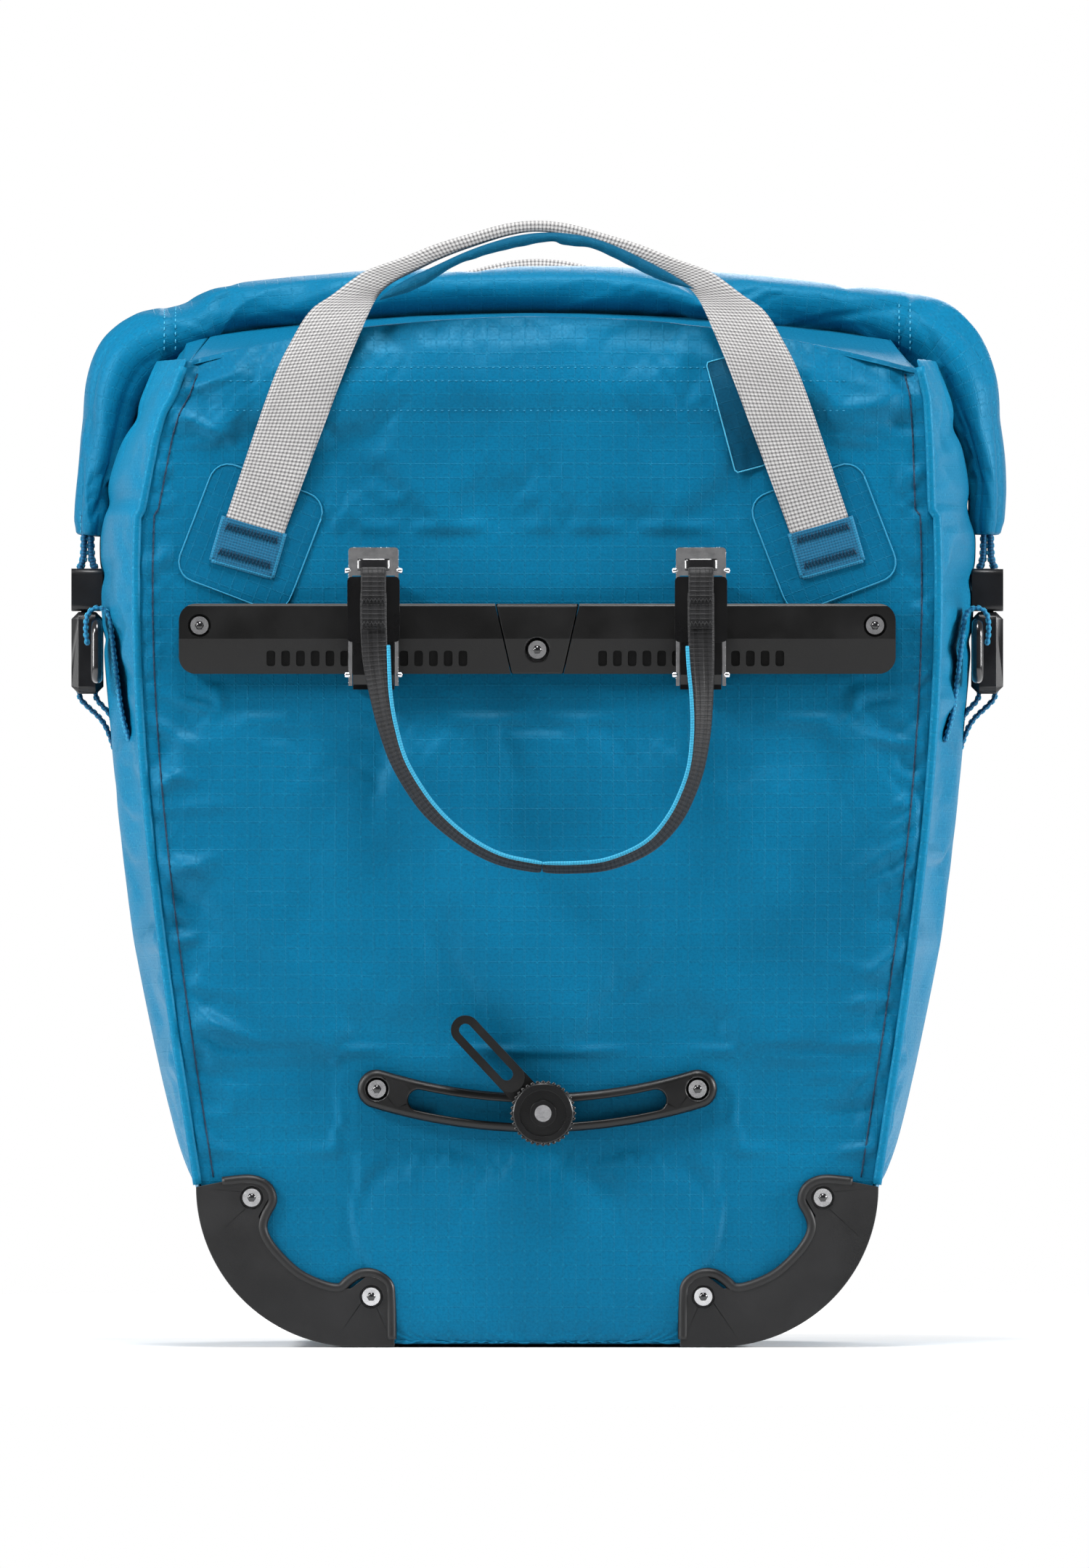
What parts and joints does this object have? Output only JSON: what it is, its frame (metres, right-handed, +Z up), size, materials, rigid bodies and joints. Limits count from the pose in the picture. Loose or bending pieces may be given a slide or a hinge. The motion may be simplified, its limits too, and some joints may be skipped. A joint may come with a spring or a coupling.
{
  "type": "pannier bag",
  "caption": "Roll-top bicycle pannier with rail hooks, swivelling foot, corner guards, carrying handles and side-release side straps.",
  "frame": {"origin": "middle of the flat base, where the bag stands", "axes": "+Z up, -Y towards the rack, +X to the right seen from the rack side"},
  "size_m": [0.387, 0.2813, 0.465],
  "materials": {
    "bag_fabric": "coated ripstop twill, satin",
    "base_fabric": "coated fabric, satin",
    "gusset_fabric": "coated fabric, satin",
    "board_plastic": "moulded, matt",
    "blue_webbing": "woven webbing",
    "grey_webbing": "woven webbing",
    "black_webbing": "ribbed webbing",
    "grip_fabric": "padded sleeve, satin",
    "patch_fabric": "coated fabric, satin",
    "label_fabric": "woven label",
    "rail_plastic": "moulded, matt",
    "hook_plastic": "moulded, fine texture",
    "guard_plastic": "moulded, fine texture",
    "buckle_plastic": "moulded, satin",
    "insert_plastic": "moulded, satin",
    "gloss_black": "gloss",
    "stirrup_metal": "bright",
    "screw_steel": "bright stainless"
  },
  "bodies": {
    "bag": {"back_panel": "bag_fabric", "front_panel": "bag_fabric", "bottom_panel": "base_fabric", "left_gusset": "gusset_fabric", "right_gusset": "gusset_fabric", "left_corner_panel": "gusset_fabric", "right_corner_panel": "gusset_fabric", "back_board": "board_plastic", "rail_left": "rail_plastic", "rail_right": "rail_plastic", "rail_centre": "rail_plastic", "rail_screws": "screw_steel", "inner_nuts": "screw_steel", "arc_rail": "rail_plastic", "arc_rail_screws": "screw_steel", "left_corner_protector": "guard_plastic", "right_corner_protector": "guard_plastic", "protector_screws": "screw_steel", "rear_handle_patches": "patch_fabric", "front_handle_patches": "patch_fabric", "rear_handle_tabs": "patch_fabric", "front_handle_tabs": "patch_fabric", "label_tab": "label_fabric", "left_side_strap": "blue_webbing", "right_side_strap": "blue_webbing", "left_ring_loop": "blue_webbing", "right_ring_loop": "blue_webbing", "left_buckle_socket": "buckle_plastic", "right_buckle_socket": "buckle_plastic", "release_strap": "black_webbing"},
    "closure": {"collar": "gusset_fabric", "rolled_closure": "gusset_fabric", "roll_stiffener": "board_plastic", "left_ear": "gusset_fabric", "right_ear": "gusset_fabric", "left_ear_loop": "blue_webbing", "right_ear_loop": "blue_webbing", "left_buckle_tongue": "buckle_plastic", "right_buckle_tongue": "buckle_plastic"},
    "rear_handle": {"rear_handle_webbing": "grey_webbing", "rear_handle_grip": "grip_fabric"},
    "front_handle": {"front_handle_webbing": "grey_webbing", "front_handle_grip": "grip_fabric"},
    "foot_slider": {"foot_carriage": "rail_plastic", "foot_bolt": "screw_steel"},
    "foot_arm": {"foot_lever": "hook_plastic"},
    "foot_screw": {"foot_knob": "hook_plastic"},
    "left_hook_unit": {"left_hook": "hook_plastic", "left_tube_insert": "insert_plastic", "left_catch_pin": "screw_steel"},
    "left_release": {"left_stirrup": "stirrup_metal"},
    "left_latch": {"left_catch": "hook_plastic"},
    "left_ring": {"left_strap_ring": "gloss_black"},
    "right_hook_unit": {"right_hook": "hook_plastic", "right_tube_insert": "insert_plastic", "right_catch_pin": "screw_steel"},
    "right_release": {"right_stirrup": "stirrup_metal"},
    "right_latch": {"right_catch": "hook_plastic"},
    "right_ring": {"right_strap_ring": "gloss_black"}
  },
  "joints": [
    {"name": "closure_lift", "type": "slide", "parent": "bag", "child": "closure", "axis": [0, 0, 1], "range_m": [0, 0.12]},
    {"name": "rear_handle_swing", "type": "hinge", "parent": "bag", "child": "rear_handle", "pos_m": [0, -0.09, 0.3595], "axis": [1, 0, 0], "range_deg": [0, 100]},
    {"name": "front_handle_swing", "type": "hinge", "parent": "bag", "child": "front_handle", "pos_m": [0, 0.092, 0.3595], "axis": [-1, 0, 0], "range_deg": [-25, 70]},
    {"name": "foot_travel", "type": "hinge", "parent": "bag", "child": "foot_slider", "pos_m": [0, -0.092, 0.32257], "axis": [0, -1, 0], "range_deg": [-13, 11.78]},
    {"name": "foot_swivel", "type": "hinge", "parent": "foot_slider", "child": "foot_arm", "pos_m": [0.0024, -0.098, 0.09658], "axis": [0, -1, 0], "continuous": true},
    {"name": "foot_knob_turn", "type": "hinge", "parent": "foot_slider", "child": "foot_screw", "pos_m": [0.0024, -0.104, 0.09658], "axis": [0, -1, 0], "continuous": true},
    {"name": "left_hook_slide", "type": "slide", "parent": "bag", "child": "left_hook_unit", "axis": [-1, 0, 0], "range_m": [-0.036, 0.044], "deforming": ["release_strap"]},
    {"name": "left_release_lift", "type": "slide", "parent": "left_hook_unit", "child": "left_release", "axis": [0, 0, 1], "range_m": [0, 0.008]},
    {"name": "left_catch_swing", "type": "hinge", "parent": "left_hook_unit", "child": "left_latch", "pos_m": [-0.0675, -0.1204, 0.2835], "axis": [1, 0, 0], "range_deg": [0, 62.5]},
    {"name": "left_ring_swing", "type": "hinge", "parent": "bag", "child": "left_ring", "pos_m": [-0.1825, -0.042, 0.299], "axis": [0, 1, 0], "range_deg": [-4, 80]},
    {"name": "right_hook_slide", "type": "slide", "parent": "bag", "child": "right_hook_unit", "axis": [1, 0, 0], "range_m": [-0.036, 0.044], "deforming": ["release_strap"]},
    {"name": "right_release_lift", "type": "slide", "parent": "right_hook_unit", "child": "right_release", "axis": [0, 0, 1], "range_m": [0, 0.008]},
    {"name": "right_catch_swing", "type": "hinge", "parent": "right_hook_unit", "child": "right_latch", "pos_m": [0.0675, -0.1204, 0.2835], "axis": [1, 0, 0], "range_deg": [0, 62.5]},
    {"name": "right_ring_swing", "type": "hinge", "parent": "bag", "child": "right_ring", "pos_m": [0.1825, -0.042, 0.299], "axis": [0, -1, 0], "range_deg": [-4, 80]}
  ],
  "couplings": [
    {"joint": "right_release_lift", "follows": "left_release_lift", "ratio": 1},
    {"joint": "left_catch_swing", "follows": "left_release_lift", "rad_per_m": 135.26},
    {"joint": "right_catch_swing", "follows": "left_release_lift", "rad_per_m": 135.26}
  ]
}
